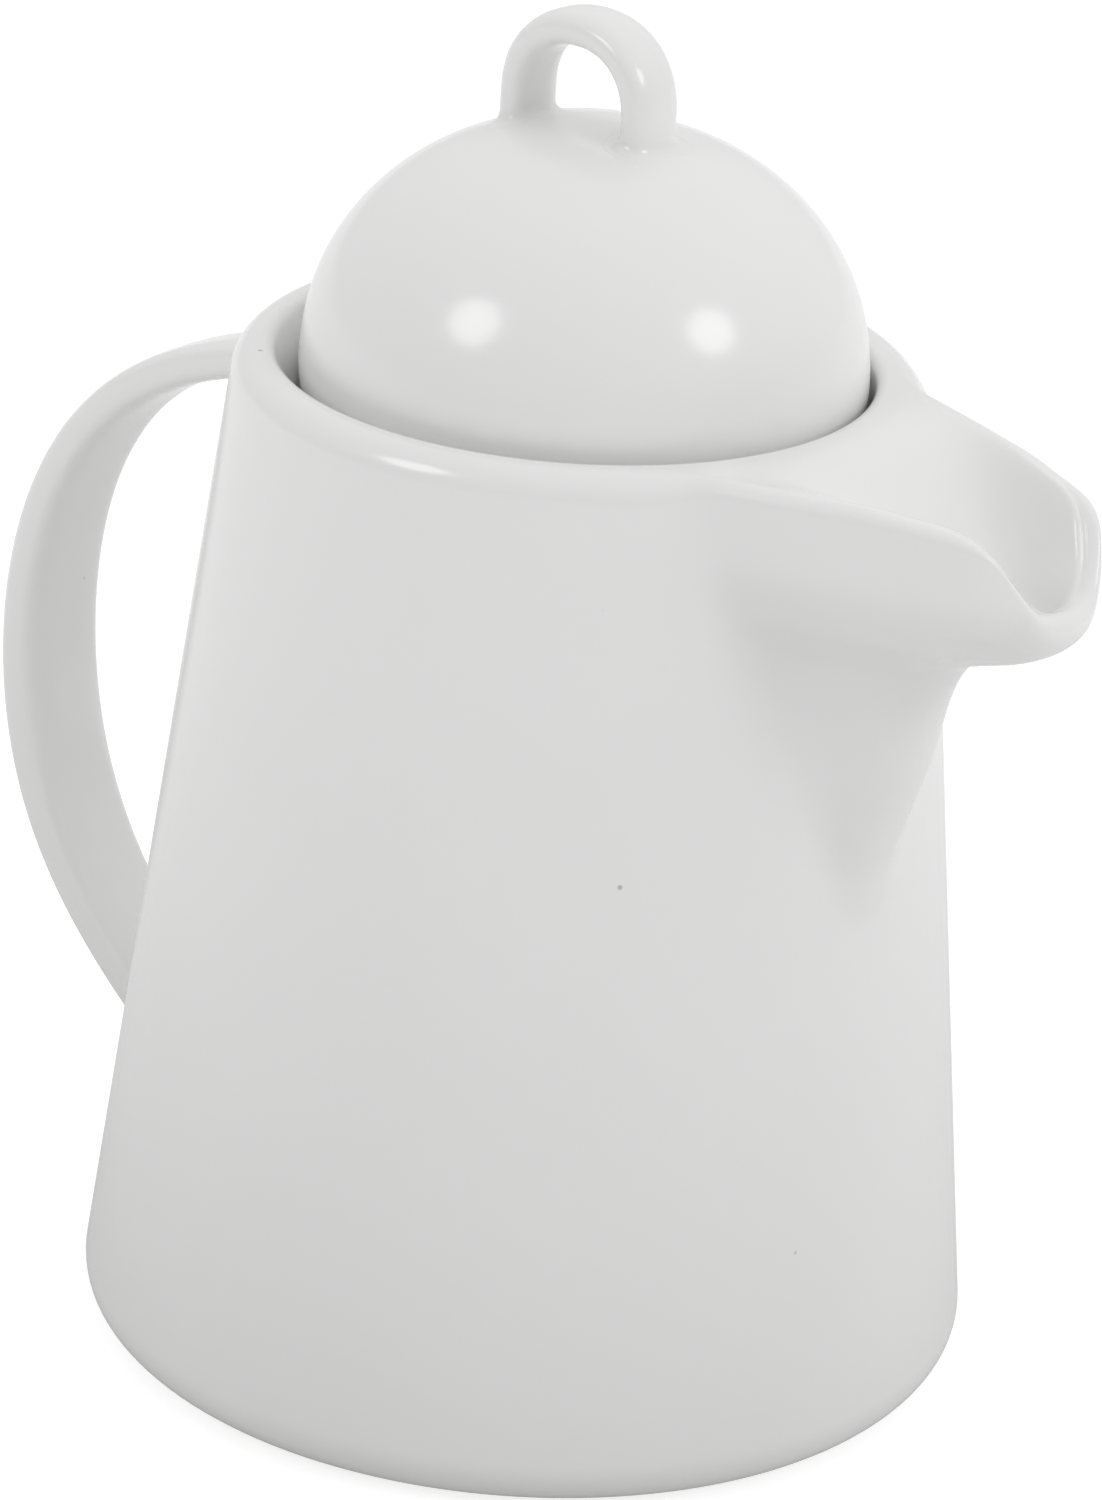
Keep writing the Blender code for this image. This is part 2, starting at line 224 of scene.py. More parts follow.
def outer_radius(angle, height):
    """Distance from the axis to the outside of body and spout."""
    lip_foot = crest_height(angle) - lip_round(angle)
    drop = np.maximum(131 - lip_foot, 0) * ease(height, 117, lip_foot + 0.01)
    level = height + drop
    spout = wedge(angle, REACH_AT(level), NOSE_AT(level), np.radians(FLANK_AT(level)))
    blend = 2.0 + 2.4 * ease(height, 85, 115) - 2.2 * ease(height, 120, 137)
    plain = soft_max(cone(height) - waist(angle) * ease(height, 105, 138), spout, blend)
    # The shallow hollow that a fingertip leaves under the lip, on each side of the keel
    across = (np.abs(angle) - HOLLOW_ANGLE) / HOLLOW_HALF_ANGLE
    off = np.hypot(across, (height - HOLLOW_HEIGHT) / HOLLOW_HALF_HEIGHT)
    return plain - HOLLOW_DEPTH * (1 - ease(off, 0.1, 1.0))


def trough_height(angle, radius):
    """Height of the top of rim and trough, from the rim's inner edge to the crest of the lip."""
    x = radius * np.cos(angle)
    y = np.abs(radius * np.sin(angle))
    centre = CREST_REACH - CREST_NOSE
    flat = (centre * math.sin(FLANK) + CREST_NOSE - x * math.sin(FLANK)) / math.cos(FLANK)
    nose = np.sqrt(np.maximum(CREST_NOSE**2 - (x - centre) ** 2, 0.01))
    half_width = np.where(x > centre + CREST_NOSE * math.sin(FLANK), nose, flat)
    across = np.clip(y / np.maximum(half_width - 0.5, 0.05), 0, 1)
    crest = CREST_AT(x)
    depth = np.maximum(crest - FLOOR_AT(radius), 0)
    return crest - depth * (1 - across**3) ** 1.6


def rounded(corners):
    """Points along a line of corners.

    A corner (r, z, radius, steps) is rounded, and (r, z) is a plain point.
    """
    path = []
    for i, corner in enumerate(corners):
        point = np.array(corner[:2], float)
        if len(corner) == 2:
            path.append(point)
            continue
        radius, steps = corner[2:]
        before = np.array(corners[i - 1][:2], float) - point
        after = np.array(corners[i + 1][:2], float) - point
        before /= np.linalg.norm(before)
        after /= np.linalg.norm(after)
        half = 0.5 * math.acos(before @ after)
        middle = (before + after) / np.linalg.norm(before + after)
        centre = point + middle * radius / math.sin(half)
        start = point + before * radius / math.tan(half) - centre
        end = point + after * radius / math.tan(half) - centre
        turn = math.pi - 2 * half
        for share in np.linspace(0, 1, steps + 1):
            a, b = math.sin((1 - share) * turn), math.sin(share * turn)
            path.append(centre + (a * start + b * end) / math.sin(turn))
    return supported(path)


def supported(path, longest=5.0, near=0.5):
    """The same line with extra points: close to both ends of each long stretch, and along it."""
    result = [path[0]]
    for start, end in zip(path[:-1], path[1:]):
        length = np.linalg.norm(end - start)
        if length > 4 * near:
            count = max(1, math.ceil((length - 2 * near) / longest))
            shares = np.linspace(near / length, 1 - near / length, count + 1)
            result += [start + (end - start) * share for share in shares]
        result.append(end)
    return np.array(result)


def porcelain_object(name, points, faces, material):
    """A smooth-shaded mesh from points in millimetres from the turning axis."""
    data = bpy.data.meshes.new(name)
    data.from_pydata((np.array(points) * MM + AXIS).tolist(), [], faces)
    data.shade_smooth()
    data.materials.append(material)
    obj = bpy.data.objects.new(name, data)
    bpy.context.scene.collection.objects.link(obj)
    return obj


def turned_skin(name, radii, heights, angles, material, holes=()):
    """A closed skin of rows and columns. The first and last rows are the poles, so they close in fans.

    holes are the (first row, last row) of patches between the THROAT_COLUMNS: a channel joins the two.
    """
    rows, columns = radii.shape
    grid = np.stack([radii * np.cos(angles), radii * np.sin(angles), heights], axis=2)
    points = grid.reshape(-1, 3)
    first_column, last_column = THROAT_COLUMNS
    gap = range(first_column, last_column)
    skip = {(i, j) for start, end in holes for i in range(start, end) for j in gap}
    faces = []
    for i in range(1, rows - 2):
        a, b = i * columns, (i + 1) * columns
        for j in range(columns):
            if (i, j) in skip:
                continue
            k = (j + 1) % columns
            faces.append((a + j, b + j, b + k, a + k))
    for j in range(columns):
        k = (j + 1) % columns
        faces.append((0, columns + j, columns + k))
        last = (rows - 2) * columns
        faces.append(((rows - 1) * columns, last + k, last + j))
    if holes:
        rings = channel(grid, *holes)
        inner = np.concatenate(rings[1:-1])
        labels = [hole_edge(columns, *holes[0], False)]
        for i in range(len(rings) - 2):
            labels.append(range(len(points) + i * len(rings[0]), len(points) + (i + 1) * len(rings[0])))
        labels.append(hole_edge(columns, *holes[1], True))
        points = np.concatenate([points, inner])
        for ring, following in zip(labels[:-1], labels[1:]):
            for j in range(len(ring)):
                k = (j + 1) % len(ring)
                faces.append((ring[k], ring[j], following[j], following[k]))
    used = sorted({i for face in faces for i in face})
    place = {old: new for new, old in enumerate(used)}
    faces = [tuple(place[i] for i in face) for face in faces]
    return porcelain_object(name, [points[i] for i in used], faces, material)


def hole_edge(columns, start, end, upside_down):
    """Labels of the points round a patch of the grid, in the same turning sense for both holes."""
    low, high = THROAT_COLUMNS
    near, far = (end, start) if upside_down else (start, end)
    step = 1 if far > near else -1
    cells = [(near, j) for j in range(low, high)]
    cells += [(i, high) for i in range(near, far, step)]
    cells += [(far, j) for j in range(high, low, -1)]
    cells += [(i, low) for i in range(far, near, -step)]
    return [i * columns + j for i, j in cells]


def channel(grid, trough_hole, wall_hole):
    """Rings of the throat, from the edge of the hole in the trough to the one in the inside wall."""
    columns = grid.shape[1]
    points = grid.reshape(-1, 3)
    mouth = points[hole_edge(columns, *trough_hole, False)]
    entry = points[hole_edge(columns, *wall_hole, True)]
    way = entry.mean(axis=0) - mouth.mean(axis=0)
    way /= np.linalg.norm(way)
    turn = np.radians(np.linspace(0, 90, 7))[:, None, None]

    def rolled(edge, direction):
        inward = edge.mean(axis=0) - edge
        inward /= np.linalg.norm(inward, axis=1)[:, None]
        return edge + THROAT_ROUND * (inward * np.sin(turn) + direction * (1 - np.cos(turn)))

    first, last = rolled(mouth, way), rolled(entry, -way)[::-1]
    share = np.linspace(0, 1, 12)[1:-1, None, None]
    return np.concatenate([first, first[-1] + (last[0] - first[-1]) * share, last])


def drawn_round(turns, places, hole):
    """Pull the grid in places (rows) and turns (columns) so that a patch of it becomes an oval."""
    first, last = hole
    low, high = THROAT_COLUMNS
    middle = (places[first] + places[last]) / 2
    half = (places[last] - places[first]) / 2
    half_turn = (turns[high] - turns[low]) / 2
    v = (places[:, None] - middle) / half * np.ones_like(turns)[None, :]
    signed = (turns + math.pi) % (2 * math.pi) - math.pi
    u = np.ones_like(places)[:, None] * signed[None, :] / half_turn
    out = np.maximum(np.maximum(np.abs(u), np.abs(v)), 1.0)
    u_edge, v_edge = u / out, v / out
    pull = 1 - ease(out, 1.0, 2.6)
    u = u + u_edge * (np.sqrt(1 - v_edge**2 / 2) - 1) * pull
    v = v + v_edge * (np.sqrt(1 - u_edge**2 / 2) - 1) * pull
    return u * half_turn, middle + v * half


def column_angles():
    """Angles of the body's columns, close together round the spout."""
    near = np.radians(np.linspace(-48, 48, NEAR_COLUMNS))
    step = math.radians(0.55)
    far = [near[-1]]
    while True:
        step = min(step * 1.06, math.radians(2.4))
        if far[-1] + step > math.pi - step / 2:
            break
        far.append(far[-1] + step)
    far = np.array(far[1:])
    far = near[-1] + (far - near[-1]) * (math.pi - near[-1]) / (far[-1] + step - near[-1])
    return np.concatenate([near, far, [math.pi], 2 * math.pi - far[::-1]])


def body_rows(angles):
    """Radii, heights and angles of the body's rows, from the inside floor over the rim to the underside.

    The last value returned holds the (first row, last row) of the two holes of the throat.
    """
    count = len(angles)

    def ring_rows(profile):
        ones = np.ones((1, count))
        return profile[:, :1] * ones, profile[:, 1:] * ones

    wall_slope = math.atan2(RIM_HEIGHT - GALLERY_TOP, RIM_EDGE - GALLERY_RADIUS)
    throat_heights = np.linspace(THROAT_WALL_LOW, THROAT_WALL_HIGH, THROAT_ROWS + 1)
    inside = rounded(
        [
            (0, FLOOR_HEIGHT),
            (cone(FLOOR_HEIGHT) - WALL, FLOOR_HEIGHT, 8, 10),
            *((cone(z) - WALL, z) for z in throat_heights),
            (cone(SHOULDER_HEIGHT) - WALL, SHOULDER_HEIGHT, 4, 6),
            (NECK_RADIUS, 129.0, 2.0, 6),
            (NECK_RADIUS, LEDGE_HEIGHT, 0.9, 5),
            (GALLERY_RADIUS, LEDGE_HEIGHT, 0.8, 4),
            (GALLERY_RADIUS, GALLERY_TOP, 3.0, 4),
            (RIM_EDGE, RIM_HEIGHT, (RIM_INNER - RIM_EDGE) * math.tan((math.pi - wall_slope) / 2), 7),
            (RIM_INNER + 5, RIM_HEIGHT),
        ]
    )
    # The profile ends at the rim's inner edge: only the straight run-out past it is dropped
    past_edge = (inside[:, 0] > RIM_INNER + 1e-6) & (inside[:, 1] > GALLERY_TOP)
    inside = inside[~past_edge]
    radii, heights = ring_rows(inside)
    # The hole for the lid opens a little off the axis, from the top of the gallery up to the rim
    shift = HOLE_SHIFT * np.cos(angles - HOLE_TURN)[None, :]
    radii = radii + shift * ease(heights, GALLERY_TOP, RIM_HEIGHT)
    start = int(np.argmin(np.abs(inside[:, 1] - THROAT_WALL_LOW) + 99 * (inside[:, 0] < NECK_RADIUS)))
    wall_hole = (start, start + THROAT_ROWS)
    # Only rows near the hole are drawn round it, so the floor and the gallery keep their rings
    turns, drawn = drawn_round(angles, inside[:, 1], wall_hole)
    near_hole = (inside[:, 1] > THROAT_WALL_LOW - 12) & (inside[:, 1] < SHOULDER_HEIGHT - 3)
    heights[near_hole] = drawn[near_hole]
    radii[near_hole] = cone(drawn[near_hole]) - WALL
    turns[~near_hole] = angles
    all_radii, all_heights, all_turns = [radii], [heights], [turns]

    share = np.linspace(0, 1, 41)[1:]
    share = 1 - (1 - share) ** 1.25
    start = int(np.argmin(np.abs(share - THROAT_TROUGH_START)))
    trough_hole = (start, start + THROAT_ROWS)
    turns, share = drawn_round(angles, share, trough_hole)
    crest = crest_radius(turns)
    inner = RIM_INNER + HOLE_SHIFT * np.cos(turns - HOLE_TURN)
    radii = inner + (crest - inner) * share
    all_radii.append(radii)
    all_heights.append(trough_height(turns, radii))
    all_turns.append(turns)
    trough_hole = (len(inside) + trough_hole[0], len(inside) + trough_hole[1])

    crest = crest_radius(angles)[None, :]
    turn = np.radians(np.linspace(90, 0, 13)[1:, None])
    top = crest_height(angles)[None, :]
    drop = lip_round(angles)[None, :]
    heights = top - drop * (1 - np.sin(turn))
    outside = outer_radius(angles[None, :], heights)
    all_radii.append(crest + (outside - crest) * np.cos(turn))
    all_heights.append(heights)

    plain = 68.0
    share = np.linspace(0, 1, 73)[1:, None] ** 1.2
    heights = (top - drop) + (plain - (top - drop)) * share
    all_radii.append(outer_radius(angles[None, :], heights))
    all_heights.append(heights)

    foot = rounded(
        [
            (cone(plain), plain),
            (cone(0), 0, BASE_ROUND, 14),
            (FOOT_RING_INNER, 0, 0.5, 3),
            (51.9, FOOT_RECESS, 1.0, 3),
            (0, FOOT_RECESS),
        ]
    )
    radii, heights = ring_rows(foot[1:])
    all_radii.append(radii)
    all_heights.append(heights)
    radii, heights = np.concatenate(all_radii), np.concatenate(all_heights)
    turns = np.concatenate(all_turns)
    plain_rows = np.ones((len(radii) - len(turns), 1)) * angles[None, :]
    return radii, heights, np.concatenate([turns, plain_rows]), (trough_hole, wall_hole)


def make_body(material):
    radii, heights, turns, holes = body_rows(column_angles())
    return turned_skin("pot_porcelain", radii, heights, turns, material, holes)


def dome_profile(radius, rise, steps):
    """From the top of the dome to its widest point."""
    angles = np.radians(np.linspace(90, 0, steps + 1))
    power = 2 / DOME_POWER
    r = radius * np.maximum(np.cos(angles), 0) ** power
    z = DOME_HEIGHT + rise * np.sin(angles) ** power
    r[0] = 0
    return np.stack([r, z], axis=1)


def make_lid(material):
    outer = dome_profile(DOME_RADIUS, DOME_RISE, 60)
    skirt = rounded(
        [
            (DOME_RADIUS, DOME_HEIGHT),
            (DOME_RADIUS - 0.15, DOME_HEIGHT - 2.6, 6, 3),
            (DOME_RADIUS - 0.9, SEAT_HEIGHT, 0.7, 4),
            (FLANGE_OUTER, SEAT_HEIGHT, 0.5, 3),
            (FLANGE_OUTER, FLANGE_LOW, 1.2, 5),
            (FLANGE_INNER, FLANGE_LOW, 1.2, 5),
            (FLANGE_INNER, SEAT_HEIGHT + 1.0, 3.0, 4),
            (DOME_RADIUS - 3.8, DOME_HEIGHT),
        ]
    )
    inner = dome_profile(DOME_RADIUS - 3.7, DOME_RISE - 3.7, 40)[::-1]
    profile = np.concatenate([outer, skirt[1:-1], inner])
    angles = np.linspace(0, 2 * math.pi, 145)[:-1]
    # The lid's profile runs down its outside, so it is turned the other way round
    profile = profile[::-1]
    radii = profile[:, :1] * np.ones((1, len(angles)))
    heights = profile[:, 1:] * np.ones((1, len(angles)))
    return turned_skin("lid_porcelain", radii, heights, angles, material)


def cone_surface(points):
    return np.hypot(points[..., 0], points[..., 1]) - cone(points[..., 2])


def dome_surface(points):
    r = np.hypot(points[..., 0], points[..., 1]) / DOME_RADIUS
    z = np.abs(points[..., 2] - DOME_HEIGHT) / DOME_RISE
    return 36 * ((r**DOME_POWER + z**DOME_POWER) ** (1 / DOME_POWER) - 1)


def normals_of(surface, points):
    step = 0.01
    slopes = []
    for axis in np.eye(3) * step:
        slopes.append((surface(points + axis) - surface(points - axis)) / (2 * step))
    normals = np.stack(slopes, axis=-1)
    return normals / np.linalg.norm(normals, axis=-1, keepdims=True)


def onto(surface, points, height=0.0):
    """The points moved along the surface's normals to a height above it."""
    for _ in range(6):
        gap = surface(points) - height
        points = points - normals_of(surface, points) * gap[..., None]
    return points


def strap_section(width, thickness, squareness, count=48):
    """Superellipse as (across, outward) pairs, anticlockwise."""
    turn = np.linspace(0, 2 * math.pi, count + 1)[:-1]
    cosine, sine = np.cos(turn), np.sin(turn)
    stretch = (np.abs(cosine) ** squareness + np.abs(sine) ** squareness) ** (-1 / squareness)
    return np.stack([width / 2 * stretch * cosine, thickness / 2 * stretch * sine], axis=1)


def rooted_strap(name, centres, sections, surface, fillet, material, rings=90):
    """A strap in the plane y = 0 whose two ends flow into a surface with fillets."""
    tangents = np.gradient(centres, axis=0)
    tangents /= np.linalg.norm(tangents, axis=1)[:, None]
    outward = np.stack([-tangents[:, 2], np.zeros(len(centres)), tangents[:, 0]], axis=1)
    across = np.array([0.0, 1.0, 0.0])
    lines = (
        centres[:, None, :]
        + across * sections[:, :, 0:1]
        + outward[:, None, :] * sections[:, :, 1:2]
    )
    stations = np.arange(len(centres), dtype=float)
    count = lines.shape[1]
    gap = surface(lines)
    middle = len(centres) // 2
    starts, ends = np.zeros(count), np.zeros(count)
    for k in range(count):
        i = np.nonzero(gap[:middle, k] < 0)[0].max()
        starts[k] = i + gap[i, k] / (gap[i, k] - gap[i + 1, k])
        i = middle + np.nonzero(gap[middle:, k] < 0)[0].min()
        ends[k] = i - gap[i, k] / (gap[i, k] - gap[i - 1, k])

    def at(station):
        result = np.empty((count, 3))
        for k in range(count):
            for axis in range(3):
                result[k, axis] = np.interp(station[k], stations, lines[:, k, axis])
        return result

    spacing = np.linalg.norm(np.diff(centres, axis=0), axis=1).mean()
    back = fillet / spacing

    def root(crossing, sign):
        """Rings from the free strap through the fillet to a cap inside the other piece."""
        free = at(crossing + sign * back)
        foot = onto(surface, at(crossing))
        along = np.roll(foot, -1, axis=0) - np.roll(foot, 1, axis=0)
        spread = np.cross(along, normals_of(surface, foot))
        spread /= np.linalg.norm(spread, axis=1)[:, None]
        centre = foot.mean(axis=0)
        if ((foot - centre) * spread).sum() < 0:
            spread = -spread
        shore = onto(surface, foot + spread * fillet, 0.02)
        result = []
        for t in np.linspace(0, 1, 9):
            result.append((1 - t) ** 2 * free + 2 * t * (1 - t) * foot + t * t * shore)
        result.append(onto(surface, foot + spread * (fillet + 1.2), -0.06))
        result.append(onto(surface, foot + spread * fillet * 0.5, -1.5))
        return result

    first = root(starts, 1)[::-1]
    last = root(ends, -1)
    body = []
    for share in np.linspace(0, 1, rings)[1:-1]:
        body.append(at(starts + back + (ends - starts - 2 * back) * share))
    loops = first + body + last
    points = np.concatenate(loops)
    faces = []
    for i in range(len(loops) - 1):
        a, b = i * count, (i + 1) * count
        for j in range(count):
            k = (j + 1) % count
            faces.append((a + j, a + k, b + k, b + j))
    faces.append(tuple(range(count))[::-1])
    faces.append(tuple(range((len(loops) - 1) * count, len(loops) * count)))
    return porcelain_object(name, points, faces, material)


def make_handle(material):
    controls = np.array(
        [(-46.6, 0, 128.3), (-115.6, 0, 119.3), (-90.0, 0, 55.4), (-105.1, 0, 48.6), (-55.4, 0, 13.4)]
    )
    t = np.linspace(-0.03, 1.03, 480)[:, None]
    weights = [1, 4, 6, 4, 1]
    centres = sum(w * t**i * (1 - t) ** (4 - i) * controls[i] for i, w in enumerate(weights))
    v = 2 * t[:, 0] - 1
    widths = 15.5 + 0.5 * v - 3.6 * v * v
    thicknesses = 7.33 + 1.48 * v - 0.77 * v * v
    sections = [strap_section(w, h, 3.6) for w, h in zip(widths, thicknesses)]
    return rooted_strap(
        "handle_porcelain", centres, np.array(sections), cone_surface, 2.6, material, 110
    )


def make_loop(material):
    leg = np.linspace(-LOOP_LEG, 0, 60)[:-1]
    arch = strap_section(2 * LOOP_RADIUS, 2 * LOOP_RADIUS, 2.2, 240)[120::-1]
    side = np.full(len(leg), LOOP_RADIUS)
    x = np.concatenate([-side, arch[:, 0], side])
    z = np.concatenate([leg, arch[:, 1], leg[::-1]])
    centres = np.stack([LOOP_CENTRE + x, 0 * x, LOOP_ARCH_HEIGHT + z], axis=1)
    section = strap_section(LOOP_WIDTH, LOOP_THICKNESS, 2.6)
    sections = np.repeat(section[None], len(centres), axis=0)
    return rooted_strap("loop_porcelain", centres, sections, dome_surface, 1.9, material, 70)


def node(tree, kind, **inputs):
    made = tree.nodes.new(kind)
    for key, value in inputs.items():
        made.inputs[key.replace("_", " ")].default_value = value
    return made


GLAZE_ROUGHNESS = 0.17
PINHOLE_COLOUR = (0.5, 0.48, 0.45, 1)
BARE_CLAY = (0.74, 0.72, 0.68, 1)


def mixed(tree, share, first, second):
    """The colour socket first, turned into the plain colour second by a share."""
    mix = tree.nodes.new("ShaderNodeMix")
    mix.data_type = "RGBA"
    tree.links.new(share, mix.inputs["Factor"])
    tree.links.new(first, mix.inputs[6])
    mix.inputs[7].default_value = second
    return mix.outputs[2]


def porcelain(name, colour=(0.835, 0.835, 0.831), foot=False):
    """White glaze over porcelain, faintly cloudy, with a few pinholes and a faint orange-peel surface.

    With foot=True the lowest half millimetre is bare clay.
    """
    material = bpy.data.materials.new(name)
    material.use_nodes = True
    tree = material.node_tree
    shader = tree.nodes["Principled BSDF"]
    shader.inputs["Roughness"].default_value = GLAZE_ROUGHNESS
    shader.inputs["IOR"].default_value = 1.55
    coords = tree.nodes.new("ShaderNodeTexCoord")
    cloud = node(tree, "ShaderNodeTexNoise", Scale=28.0, Detail=3.0, Roughness=0.5)
    tree.links.new(coords.outputs["Object"], cloud.inputs["Vector"])
    ramp = tree.nodes.new("ShaderNodeValToRGB")
    ramp.color_ramp.elements[0].position = 0.3
    ramp.color_ramp.elements[1].position = 0.7
    ramp.color_ramp.elements[0].color = (*[c * 0.985 for c in colour], 1)
    ramp.color_ramp.elements[1].color = (*colour, 1)
    tree.links.new(cloud.outputs["Fac"], ramp.inputs["Fac"])
    cells = node(tree, "ShaderNodeTexVoronoi", Scale=60.0)
    tree.links.new(coords.outputs["Object"], cells.inputs["Vector"])
    pinhole = node(tree, "ShaderNodeMapRange", From_Min=0.012, From_Max=0.026, To_Min=1.0, To_Max=0.0)
    tree.links.new(cells.outputs["Distance"], pinhole.inputs["Value"])
    colours = mixed(tree, pinhole.outputs["Result"], ramp.outputs["Color"], PINHOLE_COLOUR)
    if foot:
        place = tree.nodes.new("ShaderNodeSeparateXYZ")
        tree.links.new(coords.outputs["Object"], place.inputs["Vector"])
        bare = node(tree, "ShaderNodeMapRange", From_Min=0.0003, From_Max=0.0006, To_Min=1.0, To_Max=0.0)
        tree.links.new(place.outputs["Z"], bare.inputs["Value"])
        colours = mixed(tree, bare.outputs["Result"], colours, BARE_CLAY)
        rough = node(
            tree, "ShaderNodeMapRange", From_Min=0.0, From_Max=1.0, To_Min=GLAZE_ROUGHNESS, To_Max=0.7
        )
        tree.links.new(bare.outputs["Result"], rough.inputs["Value"])
        tree.links.new(rough.outputs["Result"], shader.inputs["Roughness"])
    tree.links.new(colours, shader.inputs["Base Color"])
    peel = node(tree, "ShaderNodeTexNoise", Scale=90.0, Detail=2.0)
    tree.links.new(coords.outputs["Object"], peel.inputs["Vector"])
    bump = node(tree, "ShaderNodeBump", Strength=0.04, Distance=0.0004)
    tree.links.new(peel.outputs["Fac"], bump.inputs["Height"])
    tree.links.new(bump.outputs["Normal"], shader.inputs["Normal"])
    return material


def stage_object(name, points, faces, colour, glow):
    """A matt white piece of the stage."""
    data = bpy.data.meshes.new(name)
    data.from_pydata(points, [], faces)
    material = bpy.data.materials.new(name)
    material.use_nodes = True
    shader = material.node_tree.nodes["Principled BSDF"]
    shader.inputs["Base Color"].default_value = (colour, colour, colour, 1)
    shader.inputs["Emission Color"].default_value = (1, 1, 1, 1)
    shader.inputs["Emission Strength"].default_value = glow
    shader.inputs["Roughness"].default_value = 0.8
    shader.inputs["Specular IOR Level"].default_value = 0.2
    data.materials.append(material)
    data.shade_smooth()
    made = bpy.data.objects.new(name, data)
    bpy.context.scene.collection.objects.link(made)
    return made


def make_plane(name, height, colour, glow):
    half = 6.0
    corners = [(-half, -half, height), (half, -half, height), (half, half, height), (-half, half, height)]
    return stage_object(name, corners, [(0, 1, 2, 3)], colour, glow)


def make_backdrop():
    """A white wall all round the floor, with a cove at its foot, that only the camera sees."""
    wall_radius, cove, wall_height, count = 5.5, 1.5, 5.0, 96
    profile = [(wall_radius - cove, 0.0)]
    for turn in np.radians(np.linspace(9, 90, 10)):
        profile.append((wall_radius - cove + cove * math.sin(turn), cove - cove * math.cos(turn)))
    profile.append((wall_radius, wall_height))
    points, faces = [], []
    for r, z in profile:
        for angle in np.linspace(0, 2 * math.pi, count + 1)[:-1]:
            points.append((r * math.cos(angle), r * math.sin(angle), z))
    for row in range(len(profile) - 1):
        for i in range(count):
            k = (i + 1) % count
            a, b = row * count, (row + 1) * count
            faces.append((a + i, b + i, b + k, a + k))
    backdrop = stage_object("backdrop", points, faces, 0.35, 1.0)
    for kind in ("diffuse", "glossy", "shadow", "transmission"):
        setattr(backdrop, "visible_" + kind, False)


# Glow of the table far from the pot
TABLE_GLOW = 0.47


def make_floor():
    """A white floor that glows like a light table, over the table that lights the pot from below."""
    floor = make_plane("floor", -0.0002, 0.35, 0.78)
    floor.visible_diffuse = False
    floor.visible_glossy = False
    floor.visible_shadow = False
    table = make_plane("table", -0.0004, 0.55, 0.0)
    table.visible_camera = False
    # The table glows too, but not close to the pot
    tree = table.data.materials[0].node_tree
    coords = tree.nodes.new("ShaderNodeTexCoord")
    distance = node(tree, "ShaderNodeVectorMath")
    distance.operation = "LENGTH"
    glow = node(tree, "ShaderNodeMapRange", From_Min=0.05, From_Max=0.35, To_Min=0.1, To_Max=TABLE_GLOW)
    tree.links.new(coords.outputs["Object"], distance.inputs[0])
    tree.links.new(distance.outputs["Value"], glow.inputs["Value"])
    tree.links.new(glow.outputs["Result"], tree.nodes["Principled BSDF"].inputs["Emission Strength"])


def aim(obj, target):
    direction = Vector(target) - obj.location
    obj.rotation_euler = direction.to_track_quat("-Z", "Y").to_euler()


def area_light(name, direction, distance, size, power, target=(0.0, 0.0, 0.155)):
    """A round softbox in a direction (azimuth, elevation in degrees) from a point on the axis."""
    light = bpy.data.lights.new(name, "AREA")
    light.shape = "DISK"
    light.size = size
    light.energy = power
    azimuth, elevation = (math.radians(d) for d in direction)
    obj = bpy.data.objects.new(name, light)
    centre = Vector(target) + Vector((AXIS[0], 0, 0))
    level = math.cos(elevation)
    away = Vector((math.cos(azimuth) * level, math.sin(azimuth) * level, math.sin(elevation)))
    obj.location = centre + away * distance
    bpy.context.scene.collection.objects.link(obj)
    aim(obj, centre)
    return obj


# The studio's light: an even glow, and broad brighter patches (towards, strength at the middle)
EVEN_GLOW = 0.30
PATCHES = (((-0.2, 0.5, 0.84), 0.63), ((-0.9, -0.4, 0.15), 0.12), ((0.93, 0.35, 0.05), 0.22))


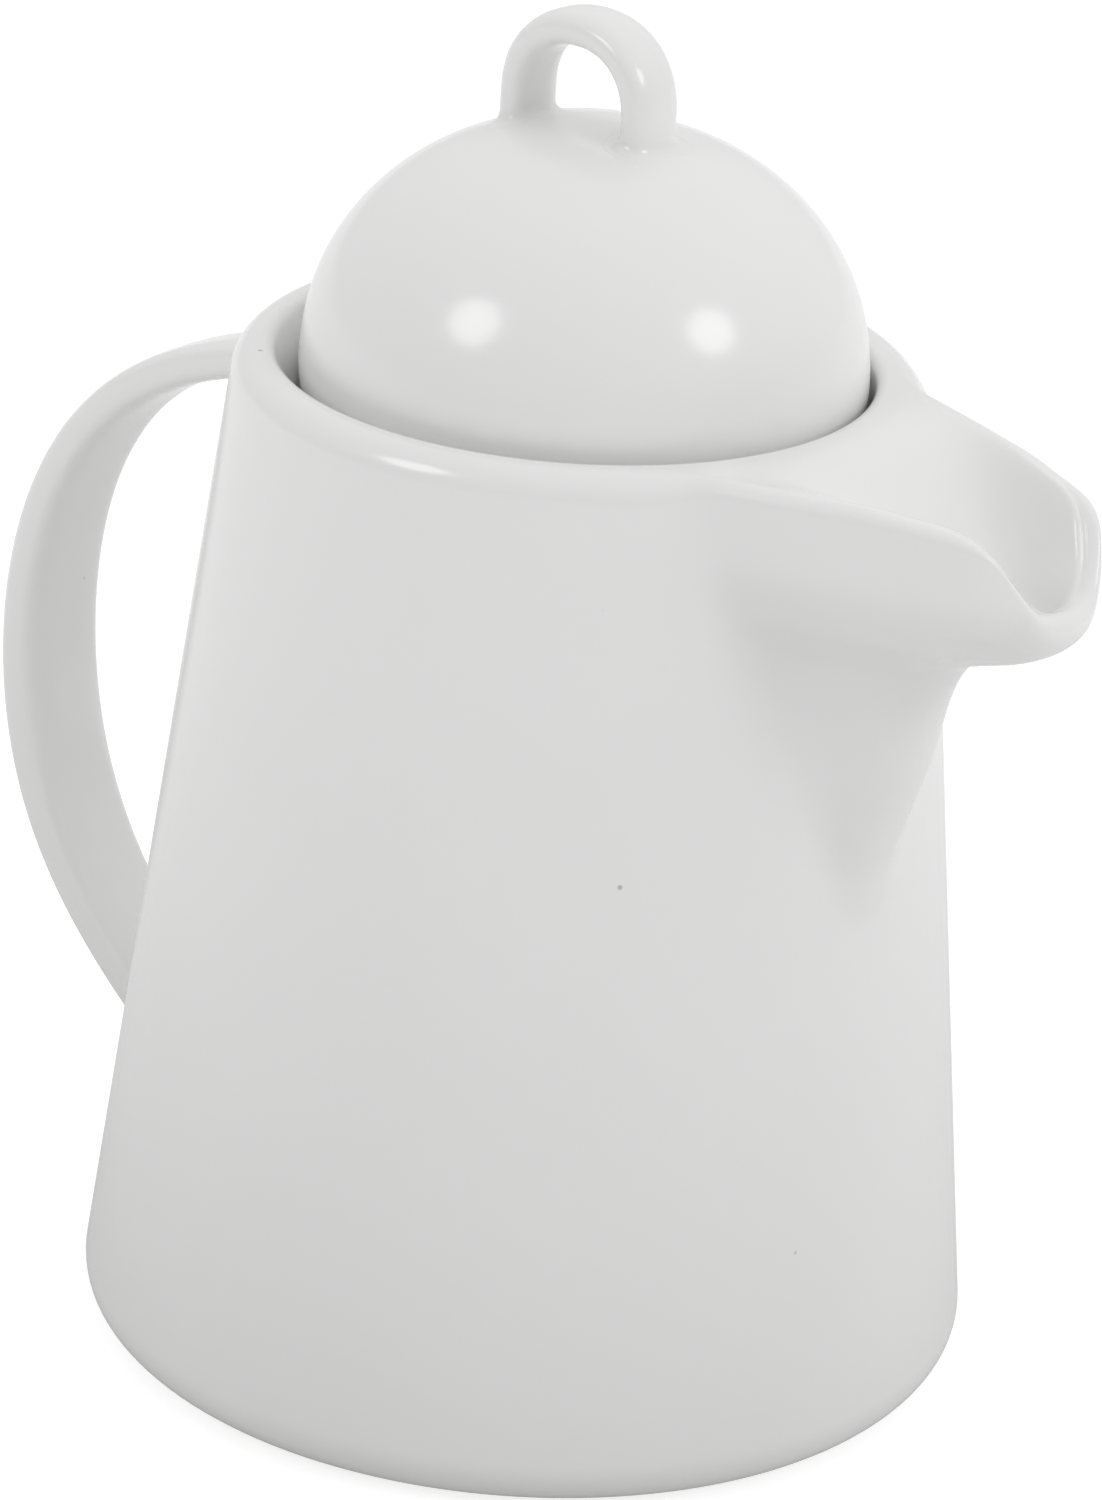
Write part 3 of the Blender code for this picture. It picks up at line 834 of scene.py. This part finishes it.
def make_lights():
    world = bpy.data.worlds.new("studio")
    bpy.context.scene.world = world
    world.use_nodes = True
    tree = world.node_tree
    background = tree.nodes["Background"]
    background.inputs["Color"].default_value = (1, 1, 1, 1)
    coords = tree.nodes.new("ShaderNodeTexCoord")
    total = node(tree, "ShaderNodeValue")
    total.outputs[0].default_value = EVEN_GLOW
    total = total.outputs[0]
    for direction, strength in PATCHES:
        facing = tree.nodes.new("ShaderNodeVectorMath")
        facing.operation = "DOT_PRODUCT"
        facing.inputs[1].default_value = direction
        tree.links.new(coords.outputs["Generated"], facing.inputs[0])
        patch = node(tree, "ShaderNodeMapRange", From_Min=-0.2, From_Max=1.0, To_Min=0.0, To_Max=strength)
        tree.links.new(facing.outputs["Value"], patch.inputs["Value"])
        both = node(tree, "ShaderNodeMath")
        tree.links.new(total, both.inputs[0])
        tree.links.new(patch.outputs["Result"], both.inputs[1])
        total = both.outputs[0]
    tree.links.new(total, background.inputs["Strength"])
    area_light("softbox_left", (-106, 32.7), 0.95, 0.35, 1.25)
    area_light("softbox_right", (8.7, 33.2), 0.95, 0.33, 1.1)


def make_camera():
    data = bpy.data.cameras.new("camera")
    data.sensor_fit = "VERTICAL"
    data.sensor_height = 24.0
    data.lens = 103.91
    data.clip_start = 0.01
    data.clip_end = 50
    camera = bpy.data.objects.new("camera", data)
    base = Vector(AXIS)
    place = base + Vector((0.5037, -0.6462, 0.4306))
    target = base + Vector((-0.00072, -0.00057, 0.08441))
    forward = (target - place).normalized()
    level = forward.cross(Vector((0, 0, 1))).normalized()
    upright = level.cross(forward)
    roll = math.radians(3.93)
    right = level * math.cos(roll) + upright * math.sin(roll)
    up = right.cross(forward)
    rotation = Matrix((right, up, -forward)).transposed()
    camera.matrix_world = Matrix.Translation(place) @ rotation.to_4x4()
    bpy.context.scene.collection.objects.link(camera)
    bpy.context.scene.camera = camera


glazes = {slot: porcelain(slot) for slot in ("handle_glaze", "lid_glaze", "loop_glaze")}
glazes["pot_glaze"] = porcelain("pot_glaze", foot=True)
PIECES = (
    (make_body(glazes["pot_glaze"]), "pot", ("pot_body", "spout"), "pot_glaze"),
    (make_handle(glazes["handle_glaze"]), "pot", ("handle",), "handle_glaze"),
    (make_lid(glazes["lid_glaze"]), "lid", ("lid_shell",), "lid_glaze"),
    (make_loop(glazes["loop_glaze"]), "lid", ("lid_loop",), "loop_glaze"),
)
for piece, body, nodes, slot in PIECES:
    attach(piece, body)
    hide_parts(*nodes)

make_floor()
make_backdrop()
make_lights()
make_camera()
bpy.context.scene.view_settings.view_transform = "Standard"
